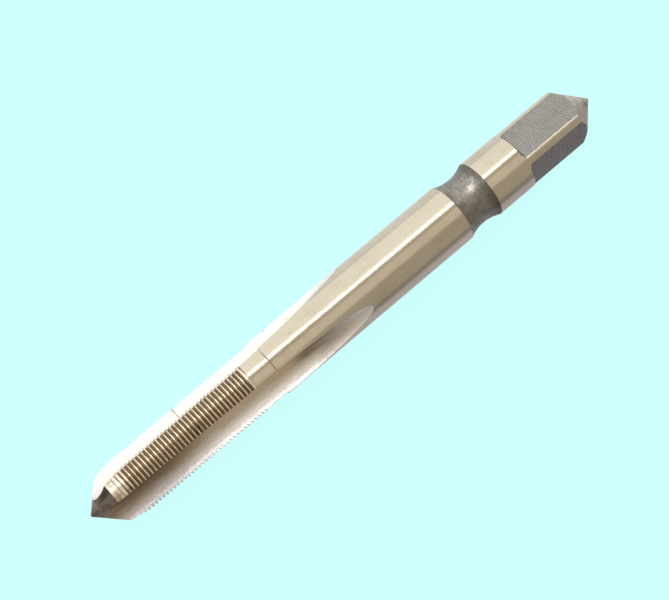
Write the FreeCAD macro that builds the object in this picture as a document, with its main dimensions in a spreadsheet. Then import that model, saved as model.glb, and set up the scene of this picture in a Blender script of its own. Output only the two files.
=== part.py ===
"""Straight-fluted hand and machine tap for a fine 7 mm thread, ground from one bar of tool steel.

The tap lies on the floor with its axis along X: the pointed threaded end is at low X, the
driving square at high X, and one land of the thread looks straight up. Millimetres and degrees.
"""
import FreeCAD, Part
import Sketcher
import os

SIZES = {
    "body_length": 66.0,          # between the bases of the two end cones
    "shank_diameter": 7.1,
    "cone_angle": 90.0,           # both male centres, included
    "tip_diameter": 0.2,          # blunt tips of the centres
    "point_diameter": 6.0,        # base of the front cone, where the lead starts
    "thread_diameter": 7.0,       # over the crests
    "thread_pitch": 0.5,
    "thread_angle": 60.0,
    "thread_length": 19.0,        # from the front cone to the last groove
    "crest_flat": 0.1,            # left on each tooth; the root is sharp
    "groove_spill": 0.033,        # each side of a groove runs on this far past the crests
    "lead_length": 2.4,           # tapered cutting teeth
    "relief_diameter": 6.78,      # plain turn between thread and shank
    "relief_length": 2.7,
    "step_bevel": 0.12,
    "flute_count": 3,
    "core_diameter": 2.6,         # web left between the flutes
    "flute_radius": 1.85,         # rim of the grinding wheel
    "flute_lean": 32.0,           # wheel rim's centre from the wheel's plane
    "heel_angle": 22.0,           # heel wall from the wheel's plane
    "flute_turn": 34.0,           # wheel's plane from the middle of the land before it
    "wheel_start": 1.0,           # the wheel comes in this far ahead of the front tip
    "flute_straight": 22.0,       # from the front tip to where the run-out starts
    "web_rise": 0.44,             # the flute is this much shallower there than at the tip
    "runout_radius": 71.0,        # wheel's path as it leaves the flute
    "neck_width": 4.35,           # hollow between shank and collar
    "neck_depth": 0.5,
    "collar_length": 5.05,
    "square_width": 5.6,          # across the flats
    "square_length": 8.0,         # to the base of the rear cone
    "square_corner": 0.3,         # cutter's corner where a flat meets the collar
    "square_sides": 4,
    "square_turn": -15.0,         # flat from the middle of the land
    "clearance": 1.5,             # cutters start and end this far outside the bar
}

CONE_SLOPE = "tan(sizes.cone_angle / 2 * 1 deg)"
FRONT_CONE = f"(sizes.point_diameter - sizes.tip_diameter) / 2 / {CONE_SLOPE}"
REAR_CONE = f"(sizes.shank_diameter - sizes.tip_diameter) / 2 / {CONE_SLOPE}"
THREAD_END = f"{FRONT_CONE} + sizes.thread_length"
RELIEF_END = f"{THREAD_END} + sizes.relief_length"
REAR_BASE = f"{FRONT_CONE} + sizes.body_length"
OVERALL = f"{REAR_BASE} + {REAR_CONE}"
SQUARE_START = f"{REAR_BASE} - sizes.square_length"
NECK_MIDDLE = f"{SQUARE_START} - sizes.collar_length - sizes.neck_width / 2"
CLEAR_RADIUS = "(sizes.shank_diameter / 2 + sizes.clearance)"
WEB_SLOPE = "(sizes.web_rise / sizes.flute_straight)"


def make_sheet(doc):
    """Write every driving size into its own named cell."""
    sheet = doc.addObject("Spreadsheet::Sheet", "sizes")
    for row, (name, value) in enumerate(SIZES.items(), start=1):
        sheet.set(f"A{row}", name)
        sheet.set(f"B{row}", str(value))
        sheet.setAlias(f"B{row}", name)
    doc.recompute()
    return sheet


def origin(body, role):
    """Plane or axis of the body's own origin."""
    return next(item for item in body.Origin.OriginFeatures if item.Role == role)


def add_sketch(body, name, plane, **turns):
    """Sketch on an origin plane, turned in it by yaw and out of it by roll, each a formula."""
    sketch = body.newObject("Sketcher::SketchObject", name)
    sketch.AttachmentSupport = [(origin(body, plane), "")]
    sketch.MapMode = "FlatFace"
    for turn, formula in turns.items():
        sketch.setExpression(f"AttachmentOffset.Rotation.{turn}", f"({formula}) * 1 deg")
    return sketch


def worked_out(sketch, formula):
    """Number that a formula of the sheet gives now."""
    result = sketch.evalExpression(formula)
    return float(getattr(result, "Value", result))


def dimension(sketch, kind, ends, formula):
    """Driving dimension between two sketch points, or of one curve, bound to a formula."""
    start = worked_out(sketch, formula)
    index = sketch.addConstraint(Sketcher.Constraint(kind, *ends, start))
    sketch.setExpression(f"Constraints[{index}]", formula)


def pin_point(sketch, curve, end, across, up):
    """Hold a point of a curve at two distances from the sketch's origin; None is on the axis."""
    if across is None:
        sketch.addConstraint(Sketcher.Constraint("PointOnObject", curve, end, -2))
    else:
        dimension(sketch, "DistanceX", (-1, 1, curve, end), across)
    if up is None:
        sketch.addConstraint(Sketcher.Constraint("PointOnObject", curve, end, -1))
    else:
        dimension(sketch, "DistanceY", (-1, 1, curve, end), up)


def outline(sketch, corners):
    """Closed outline of straight lines through corners given as pairs of formulas."""
    places = [FreeCAD.Vector(worked_out(sketch, across) if across else 0.0,
                             worked_out(sketch, up) if up else 0.0, 0.0)
              for across, up in corners]
    for place, following in zip(places, places[1:] + places[:1]):
        sketch.addGeometry(Part.LineSegment(place, following), False)
    count = len(corners)
    for index in range(count):
        sketch.addConstraint(Sketcher.Constraint("Coincident", index, 2, (index + 1) % count, 1))
        pin_point(sketch, index, 1, *corners[index])


def turn_blank(body):
    """Turned bar: front cone, lead, thread's outside, relief, shank and rear cone."""
    sketch = add_sketch(body, "blank_outline", "XY_Plane")
    outline(sketch, [
        (None, None),
        (None, "sizes.tip_diameter / 2"),
        (FRONT_CONE, "sizes.point_diameter / 2"),
        (f"{FRONT_CONE} + sizes.lead_length", "sizes.thread_diameter / 2"),
        (THREAD_END, "sizes.thread_diameter / 2"),
        (THREAD_END, "sizes.relief_diameter / 2"),
        (RELIEF_END, "sizes.relief_diameter / 2"),
        (f"{RELIEF_END} + sizes.step_bevel", "sizes.shank_diameter / 2"),
        (REAR_BASE, "sizes.shank_diameter / 2"),
        (OVERALL, "sizes.tip_diameter / 2"),
        (OVERALL, None),
    ])
    blank = body.newObject("PartDesign::Revolution", "blank")
    blank.Profile = sketch
    blank.ReferenceAxis = (origin(body, "X_Axis"), [""])
    blank.Angle = 360.0


def turn_neck(body):
    """Round-bottomed neck between shank and collar."""
    rim = "((sizes.neck_width / 2)^2 + sizes.neck_depth^2) / (2 * sizes.neck_depth)"
    height = f"sizes.shank_diameter / 2 - sizes.neck_depth + {rim}"
    sketch = add_sketch(body, "neck_outline", "XY_Plane")
    centre = FreeCAD.Vector(worked_out(sketch, NECK_MIDDLE), worked_out(sketch, height), 0.0)
    sketch.addGeometry(
        Part.Circle(centre, FreeCAD.Vector(0.0, 0.0, 1.0), worked_out(sketch, rim)), False)
    pin_point(sketch, 0, 3, NECK_MIDDLE, height)
    dimension(sketch, "Radius", (0,), rim)
    neck = body.newObject("PartDesign::Groove", "neck")
    neck.Profile = sketch
    neck.ReferenceAxis = (origin(body, "X_Axis"), [""])
    neck.Angle = 360.0


def cut_thread(body):
    """Right-hand helical groove that leaves the thread's teeth, from its last turn to the point.

    The groove's outline starts across the tap, in a flute on either side, and spills past the
    crests by less than half of the flat that stays between two turns.
    """
    half_angle = "sizes.thread_angle / 2 * 1 deg"
    half_gap = "(sizes.thread_pitch - sizes.crest_flat) / 2"
    spill = "sizes.groove_spill"
    root = f"sizes.thread_diameter / 2 - {half_gap} / tan({half_angle})"
    top = f"sizes.thread_diameter / 2 + {spill} / tan({half_angle})"
    middle = f"{THREAD_END} - {half_gap}"
    sketch = add_sketch(body, "thread_groove_outline", "XY_Plane")
    outline(sketch, [
        (middle, root),
        (f"{middle} + {half_gap} + {spill}", top),
        (f"{middle} - {half_gap} - {spill}", top),
    ])
    groove = body.newObject("PartDesign::SubtractiveHelix", "thread_groove")
    groove.Profile = sketch
    groove.ReferenceAxis = (origin(body, "X_Axis"), [""])
    groove.Mode = "pitch-height-angle"
    groove.Reversed = True
    groove.setExpression("Pitch", "sizes.thread_pitch")
    groove.setExpression("Height", "ceil(sizes.thread_length / sizes.thread_pitch) * sizes.thread_pitch")


def flute_outline(body):
    """Section of one flute: the wheel's round rim, its inclined heel side and its upright side."""
    reach = "(sizes.core_diameter / 2 + sizes.flute_radius)"
    lean = "sizes.flute_lean * 1 deg"
    heel = "sizes.heel_angle * 1 deg"
    centre = (f"-{reach} * sin({lean})", f"{reach} * cos({lean})")
    side_foot = (f"{centre[0]} - sizes.flute_radius", centre[1])
    heel_foot = (f"{centre[0]} + sizes.flute_radius * cos({heel})",
                 f"{centre[1]} - sizes.flute_radius * sin({heel})")
    heel_top = (f"{heel_foot[0]} + ({CLEAR_RADIUS} - ({heel_foot[1]})) * tan({heel})", CLEAR_RADIUS)
    side_top = (side_foot[0], CLEAR_RADIUS)

    sketch = add_sketch(body, "flute_outline", "YZ_Plane",
                        Yaw="sizes.flute_turn", Roll=f"-atan({WEB_SLOPE}) / 1 deg")
    sketch.setExpression("AttachmentOffset.Base.z", "-sizes.wheel_start")
    middle, foot, heel_end, top, side_end = (
        FreeCAD.Vector(worked_out(sketch, across), worked_out(sketch, up), 0.0)
        for across, up in (centre, side_foot, heel_foot, heel_top, side_top))
    rim = Part.Circle(middle, FreeCAD.Vector(0.0, 0.0, 1.0), worked_out(sketch, "sizes.flute_radius"))
    sketch.addGeometry([Part.ArcOfCircle(rim, rim.parameter(foot), rim.parameter(heel_end)),
                        Part.LineSegment(heel_end, top),
                        Part.LineSegment(top, side_end),
                        Part.LineSegment(side_end, foot)], False)
    for index in range(4):
        sketch.addConstraint(Sketcher.Constraint("Coincident", index, 2, (index + 1) % 4, 1))
    pin_point(sketch, 0, 3, *centre)
    dimension(sketch, "Radius", (0,), "sizes.flute_radius")
    dimension(sketch, "DistanceY", (-1, 1, 0, 1), side_foot[1])
    dimension(sketch, "DistanceY", (-1, 1, 0, 2), heel_foot[1])
    pin_point(sketch, 2, 1, *heel_top)
    pin_point(sketch, 3, 1, *side_top)
    return sketch


def flute_path(body):
    """The wheel's way along the tap: nearly level as far as the thread goes, then up an arc."""
    sketch = add_sketch(body, "flute_path", "XZ_Plane", Roll="sizes.flute_turn")
    start = ("-sizes.wheel_start", f"-sizes.wheel_start * {WEB_SLOPE}")
    bend = ("sizes.flute_straight", "sizes.web_rise")
    clear = f"sizes.flute_straight + sqrt(2 * sizes.runout_radius * {CLEAR_RADIUS})"
    first, last = (FreeCAD.Vector(worked_out(sketch, across), worked_out(sketch, up), 0.0)
                   for across, up in (start, bend))
    radius = worked_out(sketch, "sizes.runout_radius")
    along = (last - first).normalize()
    hub = last + FreeCAD.Vector(-along.y, along.x, 0.0) * radius
    reach = worked_out(sketch, clear) - hub.x
    leave = hub + FreeCAD.Vector(reach, -(radius ** 2 - reach ** 2) ** 0.5, 0.0)
    swing = Part.Circle(hub, FreeCAD.Vector(0.0, 0.0, 1.0), radius)
    sketch.addGeometry([Part.LineSegment(first, last),
                        Part.ArcOfCircle(swing, swing.parameter(last), swing.parameter(leave))], False)
    pin_point(sketch, 0, 1, *start)
    pin_point(sketch, 0, 2, *bend)
    sketch.addConstraint(Sketcher.Constraint("Tangent", 0, 2, 1, 1))
    dimension(sketch, "Radius", (1,), "sizes.runout_radius")
    dimension(sketch, "DistanceX", (-1, 1, 1, 2), clear)
    return sketch


def grind_flutes(body):
    """Flutes ground along the thread, each run out of the shank along the wheel's arc."""
    profile = flute_outline(body)
    path = flute_path(body)
    flute = body.newObject("PartDesign::SubtractivePipe", "flute")
    flute.Profile = profile
    flute.Spine = (path, ["Edge1", "Edge2"])
    around(body, flute, "flutes", "sizes.flute_count")


def mill_square(body):
    """Four flats of the driving square, milled from the rear end up to the collar."""
    sketch = add_sketch(body, "flat_outline", "XZ_Plane", Roll="sizes.square_turn")
    past = f"{OVERALL} + sizes.clearance"
    half = "sizes.square_width / 2"
    outline(sketch, [
        (SQUARE_START, f"{half} + sizes.square_corner"),
        (f"{SQUARE_START} + sizes.square_corner", half),
        (past, half),
        (past, CLEAR_RADIUS),
        (SQUARE_START, CLEAR_RADIUS),
    ])
    flat = body.newObject("PartDesign::Pocket", "flat")
    flat.Profile = sketch
    flat.Midplane = True
    flat.setExpression("Length", f"2 * {CLEAR_RADIUS}")
    around(body, flat, "drive_square", "sizes.square_sides")


def around(body, feature, name, count):
    """Repeat a cut evenly about the tap's axis."""
    pattern = body.newObject("PartDesign::PolarPattern", name)
    pattern.Originals = [feature]
    pattern.Axis = (origin(body, "X_Axis"), [""])
    pattern.Angle = 360.0
    pattern.setExpression("Occurrences", count)
    body.Tip = pattern


def make_tap(doc):
    """The tap as one body, lying on the floor under the middle of its length."""
    body = doc.addObject("PartDesign::Body", "tap")
    body.Label = "tap"
    for step in (turn_blank, turn_neck, grind_flutes, mill_square, cut_thread):
        step(body)
        doc.recompute()
        print(step.__name__, round(body.Shape.Volume, 3), len(body.Shape.Faces))
    body.setExpression("Placement.Base.x", f"-({OVERALL}) / 2")
    body.setExpression("Placement.Base.z", "sizes.shank_diameter / 2")
    return body


def check(doc, pieces):
    """Stop if any object failed or a piece has no sound shape."""
    for item in doc.Objects:
        bad = {"Invalid", "Error"} & set(item.State)
        if bad:
            raise RuntimeError(f"{item.Name} is {sorted(bad)}")
    for piece in pieces:
        if piece.Shape.isNull() or not piece.Shape.isValid() or len(piece.Shape.Solids) != 1:
            raise RuntimeError(f"{piece.Label} has no sound shape")


def main():
    """Build the tap and write it out."""
    doc = FreeCAD.newDocument("thread_tap")
    make_sheet(doc)
    pieces = [make_tap(doc)]
    doc.recompute()
    check(doc, pieces)
    os.makedirs("parts", exist_ok=True)
    for piece in pieces:
        piece.Shape.exportStep(f"parts/{piece.Label}.step")


main()
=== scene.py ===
"""Looks of a fine-thread tap: ground steel, cut teeth, polished flutes, a matt neck and a square.

The tap lies along X with its cutting point at low X. Lengths in the dataclasses are millimetres
from the cutting point, and angles are degrees round the tap's axis from straight up towards -Y.
"""

import logging
import math
from abc import ABC, abstractmethod
from collections.abc import Sequence
from dataclasses import dataclass, field
from enum import Enum

import bpy
import numpy as np
from mathutils import Matrix, Vector

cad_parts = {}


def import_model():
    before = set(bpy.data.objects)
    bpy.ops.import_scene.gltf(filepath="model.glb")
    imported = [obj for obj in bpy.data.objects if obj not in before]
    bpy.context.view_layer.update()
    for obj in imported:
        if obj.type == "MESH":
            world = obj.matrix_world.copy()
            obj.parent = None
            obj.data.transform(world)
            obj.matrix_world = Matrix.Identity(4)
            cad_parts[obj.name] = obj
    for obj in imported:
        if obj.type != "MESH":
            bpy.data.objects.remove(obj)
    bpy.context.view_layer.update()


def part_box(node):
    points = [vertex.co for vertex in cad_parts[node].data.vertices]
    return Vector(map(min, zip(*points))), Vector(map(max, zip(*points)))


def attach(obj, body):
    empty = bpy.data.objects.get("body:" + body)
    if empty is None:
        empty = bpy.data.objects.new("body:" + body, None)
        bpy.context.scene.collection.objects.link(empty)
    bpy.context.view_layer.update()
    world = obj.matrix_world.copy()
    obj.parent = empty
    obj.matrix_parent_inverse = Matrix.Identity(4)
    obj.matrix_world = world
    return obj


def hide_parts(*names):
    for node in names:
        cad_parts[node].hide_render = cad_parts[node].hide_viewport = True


MM = 0.001
FULL_TURN = 360.0

log = logging.getLogger("thread_tap")

Array = np.ndarray
Socket = bpy.types.NodeSocket
Outputs = bpy.types.NodeOutputs
Colour = tuple[float, float, float, float]


class Zone(Enum):
    """Stretches of the tap's surface that have a finish of their own."""

    FRONT_CONE = "front_cone_steel"
    THREAD = "thread_steel"
    SHANK = "shank_steel"
    FLUTE = "flute_steel"
    NECK = "neck_steel"
    FLAT = "flat_steel"
    REAR_CONE = "rear_cone_steel"


class Crowd(Enum):
    """Where the places of a spread lie closer together."""

    NOWHERE = "nowhere"
    START = "start"
    END = "end"


def spread(start: float, end: float, gaps: int, crowd: Crowd = Crowd.NOWHERE) -> list[float]:
    """Places from start to end.

    Args:
        start: First place.
        end: Last place.
        gaps: Number of gaps between the places.
        crowd: Where they lie closer together.

    Returns:
        The places, both ends included.
    """
    share = np.linspace(0.0, 1.0, gaps + 1)
    if crowd is Crowd.START:
        share = share ** 2
    if crowd is Crowd.END:
        share = 1.0 - (1.0 - share) ** 2
    return [float(place) for place in start + (end - start) * share]


@dataclass(frozen=True)
class Bar:
    """The turned and ground outside of the tap, before flutes, teeth and flats."""

    body_length: float = 66.0
    shank_diameter: float = 7.1
    tip_diameter: float = 0.2
    point_diameter: float = 6.0
    thread_diameter: float = 7.0
    thread_length: float = 19.0
    lead_length: float = 2.4
    relief_diameter: float = 6.78
    relief_length: float = 2.7
    step_bevel: float = 0.12
    neck_width: float = 4.35
    neck_depth: float = 0.5
    collar_length: float = 5.05
    square_length: float = 8.0
    eased: float = 0.015

    @property
    def shank_radius(self) -> float:
        """Radius of the shank, and of the whole tap."""
        return self.shank_diameter / 2

    @property
    def point_end(self) -> float:
        """Base of the front cone."""
        return (self.point_diameter - self.tip_diameter) / 2

    @property
    def thread_end(self) -> float:
        """Where the thread stops."""
        return self.point_end + self.thread_length

    @property
    def relief_end(self) -> float:
        """Where the turned relief behind the thread stops."""
        return self.thread_end + self.relief_length

    @property
    def rear_base(self) -> float:
        """Base of the rear cone."""
        return self.point_end + self.body_length

    @property
    def overall(self) -> float:
        """Whole length of the tap."""
        return self.rear_base + (self.shank_diameter - self.tip_diameter) / 2

    @property
    def square_start(self) -> float:
        """Where the flats start."""
        return self.rear_base - self.square_length

    @property
    def neck_end(self) -> float:
        """Where the collar starts."""
        return self.square_start - self.collar_length

    @property
    def neck_start(self) -> float:
        """Where the shank ends."""
        return self.neck_end - self.neck_width

    def outline(self) -> tuple[list[float], list[float]]:
        """Corners of the straight stretches of the outline.

        Returns:
            The corners' places along the tap, and their radii.
        """
        crest = self.thread_diameter / 2
        relief = self.relief_diameter / 2
        corners = [
            (0.0, self.tip_diameter / 2),
            (self.point_end, self.point_diameter / 2),
            (self.point_end + self.lead_length, crest),
            (self.thread_end - self.eased, crest),
            (self.thread_end, relief),
            (self.relief_end, relief),
            (self.relief_end + self.step_bevel, self.shank_radius),
            (self.rear_base, self.shank_radius),
            (self.overall, self.tip_diameter / 2),
        ]
        return [place for place, _ in corners], [radius for _, radius in corners]

    def radius(self, place: Array) -> Array:
        """Radius of the blank, with the round bottom of its neck.

        Args:
            place: Distances from the cutting point.

        Returns:
            The radius at each place.
        """
        straight = np.interp(place, *self.outline())
        rim = ((self.neck_width / 2) ** 2 + self.neck_depth ** 2) / (2 * self.neck_depth)
        hub = self.shank_radius - self.neck_depth + rim
        across = np.clip(place - (self.neck_start + self.neck_end) / 2, -rim, rim)
        return np.minimum(straight, hub - np.sqrt(rim ** 2 - across ** 2))


@dataclass(frozen=True)
class Thread:
    """Right-hand helical groove between the teeth, which fades out behind its last lap."""

    end: float
    diameter: float = 7.0
    pitch: float = 0.5
    angle: float = 60.0
    crest_flat: float = 0.1
    first_turn: float = 270.0
    run_out_from: float = -45.0
    run_out_to: float = 4.0

    @property
    def half_gap(self) -> float:
        """Half the width of the groove at the crests."""
        return (self.pitch - self.crest_flat) / 2

    @property
    def slope(self) -> float:
        """Rise of a tooth's flank for each unit along the tap."""
        return 1.0 / math.tan(math.radians(self.angle / 2))

    @property
    def depth(self) -> float:
        """Depth of the groove under the crests."""
        return self.half_gap * self.slope

    @property
    def root(self) -> float:
        """Radius of the bottom of the groove."""
        return self.diameter / 2 - self.depth

    def radius(self, place: Array, turn: Array) -> Array:
        """Radius that the groove leaves.

        Args:
            place: Distances from the cutting point.
            turn: Angles round the tap.

        Returns:
            The radius at each point, far outside the tap where the groove doesn't reach.
        """
        behind = np.mod(self.first_turn - turn, FULL_TURN) / FULL_TURN
        phase = place - (self.end - self.half_gap) + self.pitch * behind
        lap = np.round(phase / self.pitch)
        faded = np.clip((turn - self.run_out_from) / (self.run_out_to - self.run_out_from), 0.0, None)
        run_out = np.where((lap == 1) & (turn < self.run_out_to), faded * self.depth, np.inf)
        lift = np.where(lap < 1, 0.0, run_out)
        return self.root + np.abs(phase - lap * self.pitch) * self.slope + lift


@dataclass(frozen=True)
class Flute:
    """One ground flute: the wheel's section and its way along the tap and out of the shank."""

    core_diameter: float = 2.6
    rim_radius: float = 1.85
    lean: float = 32.0
    heel_angle: float = 22.0
    turn: float = 34.0
    straight: float = 22.0
    web_rise: float = 0.44
    runout_radius: float = 71.0
    side_height: float = 2.4

    def section(self, share: Array) -> tuple[Array, Array]:
        """Points of the wheel's section, from its upright side round its rim and up its heel side.

        Args:
            share: Shares of the way round the section, from 0 to 1.

        Returns:
            Distances across the wheel's plane, and heights over the wheel's path.
        """
        reach = self.core_diameter / 2 + self.rim_radius
        lean, heel = math.radians(self.lean), math.radians(self.heel_angle)
        across, up = -reach * math.sin(lean), reach * math.cos(lean)
        rim_length = (math.pi - heel) * self.rim_radius
        way = share * (2 * self.side_height + rim_length)
        round_rim = np.clip((way - self.side_height) / self.rim_radius, 0.0, math.pi - heel)
        before = np.clip(self.side_height - way, 0.0, None)
        after = np.clip(way - self.side_height - rim_length, 0.0, None)
        return (across - self.rim_radius * np.cos(round_rim) + after * math.sin(heel),
                up - self.rim_radius * np.sin(round_rim) + before + after * math.cos(heel))

    def height(self, place: Array, over_path: Array) -> Array:
        """Height of section points over the tap's axis, where the wheel's way crosses a place.

        Args:
            place: Distances from the cutting point.
            over_path: Heights of the section points over the wheel's path.

        Returns:
            Heights on the rising web, or on the wheel's arc out of the shank.
        """
        slope = self.web_rise / self.straight
        tilt = math.atan(slope)
        level = slope * place + over_path / math.cos(tilt)
        hub_place = self.straight - self.runout_radius * math.sin(tilt)
        hub_height = self.web_rise + self.runout_radius * math.cos(tilt)
        swing = self.runout_radius - over_path
        beyond = np.clip(place - hub_place, 0.0, np.abs(swing))
        arc = hub_height - np.sqrt(swing ** 2 - beyond ** 2)
        return np.where(beyond > swing * math.sin(tilt), arc, level)

    def polar(self, place: Array, share: Array, copy: int, count: int) -> tuple[Array, Array]:
        """Section points of one flute.

        Args:
            place: Distances from the cutting point.
            share: Shares of the way round the section.
            copy: Number of the flute.
            count: How many flutes there are.

        Returns:
            Radii, and angles round the tap.
        """
        across, over_path = self.section(share)
        up = self.height(place, over_path)
        turn = self.turn + copy * FULL_TURN / count - np.degrees(np.arctan2(across, up))
        return np.hypot(across, up), turn


@dataclass(frozen=True)
class DriveSquare:
    """The four flats at the rear end."""

    start: float
    width: float = 5.6
    corner: float = 0.3
    turn: float = -15.0
    sides: int = 4
    edge: float = 0.07

    def half_width(self, place: float) -> float:
        """Distance of the flats from the axis.

        Args:
            place: Distance from the cutting point.

        Returns:
            Half the width, wider where the flats slope up to the collar.
        """
        left = self.start + self.corner - place
        return self.width / 2 + min(max(left, 0.0), self.corner)


@dataclass(frozen=True)
class Ring:
    """One closed row of points round the tap."""

    place: Array
    radius: Array
    turn: Array


@dataclass(frozen=True)
class Gaps:
    """Number of gaps between the rings on each stretch, from the cutting point on."""

    point: int = 6
    flute_mouth: int = 24
    relief: int = 14
    step: int = 3
    run_out: int = 70
    settling: int = 10
    shank: int = 24
    neck: int = 40
    collar: int = 12
    flat_start: int = 4
    square: int = 30
    shoulder: int = 12
    rear: int = 14


@dataclass
class TapForm:
    """The tap's surface as rings of points that share their columns from end to end.

    Land columns and flute columns follow the edges between lands and flutes, and flat columns
    follow the edges of the square, so that every edge of the tap is an edge of the mesh.
    """

    bar: Bar = field(default_factory=Bar)
    flute: Flute = field(default_factory=Flute)
    gaps: Gaps = field(default_factory=Gaps)
    flute_count: int = 3
    land_columns: int = 14
    flute_columns: int = 18
    corner_columns: int = 8
    rings_per_pitch: int = 15
    least_gap: float = 0.3
    land_from: float = -28.0
    land_to: float = 29.0
    shift_fade: float = 0.4
    settle_length: float = 2.0
    flat_parts: int = 3
    scan_points: int = 161
    halvings: int = 40
    weld_digits: int = 9
    crease_angle: float = 24.0

    def __post_init__(self) -> None:
        """Work out the teeth, the square and the columns from the bar."""
        self.thread = Thread(end=self.bar.thread_end, diameter=self.bar.thread_diameter)
        self.square = DriveSquare(start=self.bar.square_start)
        self.per_third = self.land_columns + self.flute_columns
        self.columns = self.flute_count * self.per_third
        self.per_side = self.columns // self.square.sides
        self.shifts = self.helix_shifts()
        self.flute_from = self.flute_limit(self.bar.point_end, 0.0)
        self.flute_to = self.flute_limit(self.flute.straight, self.bar.neck_start)

    @property
    def apex(self) -> float:
        """Where the flats end on the rear cone."""
        return self.bar.rear_base + self.bar.shank_radius - self.square.width / 2

    def helix_shifts(self) -> Array:
        """Work out how far the columns move along the tap, so that rings follow the thread's helix.

        Returns:
            The shift of each column.
        """
        land = np.linspace(self.land_from, self.land_to, self.land_columns + 1)
        back = np.linspace(self.land_to, self.land_from, self.flute_columns + 1)[1:-1]
        one = np.concatenate([land, back]) * self.thread.pitch / FULL_TURN
        return np.tile(one, self.flute_count)

    def outer(self, place: Array, turn: Array) -> Array:
        """Radius of the lands: the bar with its thread.

        Args:
            place: Distances from the cutting point.
            turn: Angles round the tap.

        Returns:
            The radius at each point.
        """
        cut = np.where(place < self.thread.end, self.thread.radius(place, turn), np.inf)
        return np.minimum(self.bar.radius(place), cut)

    def crossing(self, copy: int, place: float, step: int) -> float | None:
        """Where one side of a flute's section crosses the lands.

        Args:
            copy: Number of the flute.
            place: Distance from the cutting point.
            step: -1 for the cutting edge, 1 for the heel.

        Returns:
            Share of the way round the section, or None where the wheel clears the bar.
        """
        def over(share: Array) -> Array:
            """How far section points are outside the lands.

            Args:
                share: Shares of the way round the section.

            Returns:
                The distances, below zero inside the lands.
            """
            places = np.full_like(share, place)
            radius, turn = self.flute.polar(places, share, copy, self.flute_count)
            return radius - self.outer(places, turn)

        scan = np.linspace(0.0, 1.0, self.scan_points)
        height = over(scan)
        index = int(np.argmin(height))
        if height[index] >= 0.0:
            return None
        while height[index] < 0.0:
            index += step
        inside, outside = scan[index - step], scan[index]
        for _ in range(self.halvings):
            middle = (inside + outside) / 2
            if over(np.array([middle]))[0] < 0.0:
                inside = middle
            else:
                outside = middle
        return float((inside + outside) / 2)

    def flute_limit(self, inside: float, outside: float) -> float:
        """Where the flutes begin or end.

        Args:
            inside: A place in the flutes.
            outside: A place beyond their end.

        Returns:
            The last place at which the wheel still cuts.
        """
        for _ in range(self.halvings):
            middle = (inside + outside) / 2
            if self.crossing(0, middle, 1) is None:
                outside = middle
            else:
                inside = middle
        return inside

    def fluted_ring(self, place: float) -> Ring:
        """Ring through the lands and flutes.

        Args:
            place: Distance from the cutting point to the ring in the middle of each land.

        Returns:
            The ring, along the helix over the thread and level elsewhere.
        """
        rise = (place - self.bar.point_end) / self.shift_fade
        fall = (self.bar.thread_end - place) / self.shift_fade
        fade = float(np.clip(min(rise, fall), 0.0, 1.0))
        places = place + self.shifts * fade
        cut_place, heel_place = places[0], places[self.land_columns]
        cuts, heels, cut_turns, heel_turns = [], [], [], []
        for copy in range(self.flute_count):
            cuts.append(self.crossing(copy, cut_place, -1))
            heels.append(self.crossing(copy, heel_place, 1))
            ends = np.array([cuts[copy], heels[copy]])
            _, turn = self.flute.polar(np.array([cut_place, heel_place]), ends, copy, self.flute_count)
            cut_turns.append(float(turn[0]))
            heel_turns.append(float(turn[1]))
        radius, turns = np.zeros(self.columns), np.zeros(self.columns)
        for land in range(self.flute_count):
            first = land * self.per_third
            start = cut_turns[land - 1] - (FULL_TURN if land == 0 else 0.0)
            columns = slice(first, first + self.land_columns + 1)
            turns[columns] = np.linspace(start, heel_turns[land], self.land_columns + 1)
            radius[columns] = self.outer(places[columns], turns[columns])
            share = np.linspace(heels[land], cuts[land], self.flute_columns + 1)[1:-1]
            columns = slice(first + self.land_columns + 1, first + self.per_third)
            radius[columns], turns[columns] = self.flute.polar(
                places[columns], share, land, self.flute_count)
        return Ring(places, radius, turns)

    def closing_turns(self, place: float) -> Array:
        """Angles of the columns where the flutes close, with each flute's columns together.

        Args:
            place: Distance from the cutting point, just inside the flutes.

        Returns:
            The angle of each column.
        """
        turns = self.fluted_ring(place).turn
        for land in range(self.flute_count):
            first = land * self.per_third + self.land_columns
            columns = np.arange(first, first + self.flute_columns + 1)
            laps = np.where(columns >= self.columns, FULL_TURN, 0.0)
            meeting = np.mean(turns[columns % self.columns] + laps)
            turns[columns % self.columns] = meeting - laps
        return turns

    def even_turns(self) -> Array:
        """Angles of evenly spread columns."""
        return self.land_from + np.arange(self.columns) * FULL_TURN / self.columns

    def square_turns(self) -> Array:
        """Angles of the columns where the flats start."""
        return self.square_ring(self.bar.square_start).turn

    def round_rings(self, places: Sequence[float], start: Array, finish: Array) -> list[Ring]:
        """Rings with no flute or flat, whose columns move over from one spread to another.

        Args:
            places: Distances from the cutting point.
            start: Angles of the columns at the first place.
            finish: Angles of the columns at the last place.

        Returns:
            A ring for each place.
        """
        shares = (np.array(places) - places[0]) / (places[-1] - places[0])
        rings = []
        for place, share in zip(places, shares):
            row = np.full(self.columns, place)
            rings.append(Ring(row, self.bar.radius(row), start + (finish - start) * share))
        return rings

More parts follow.
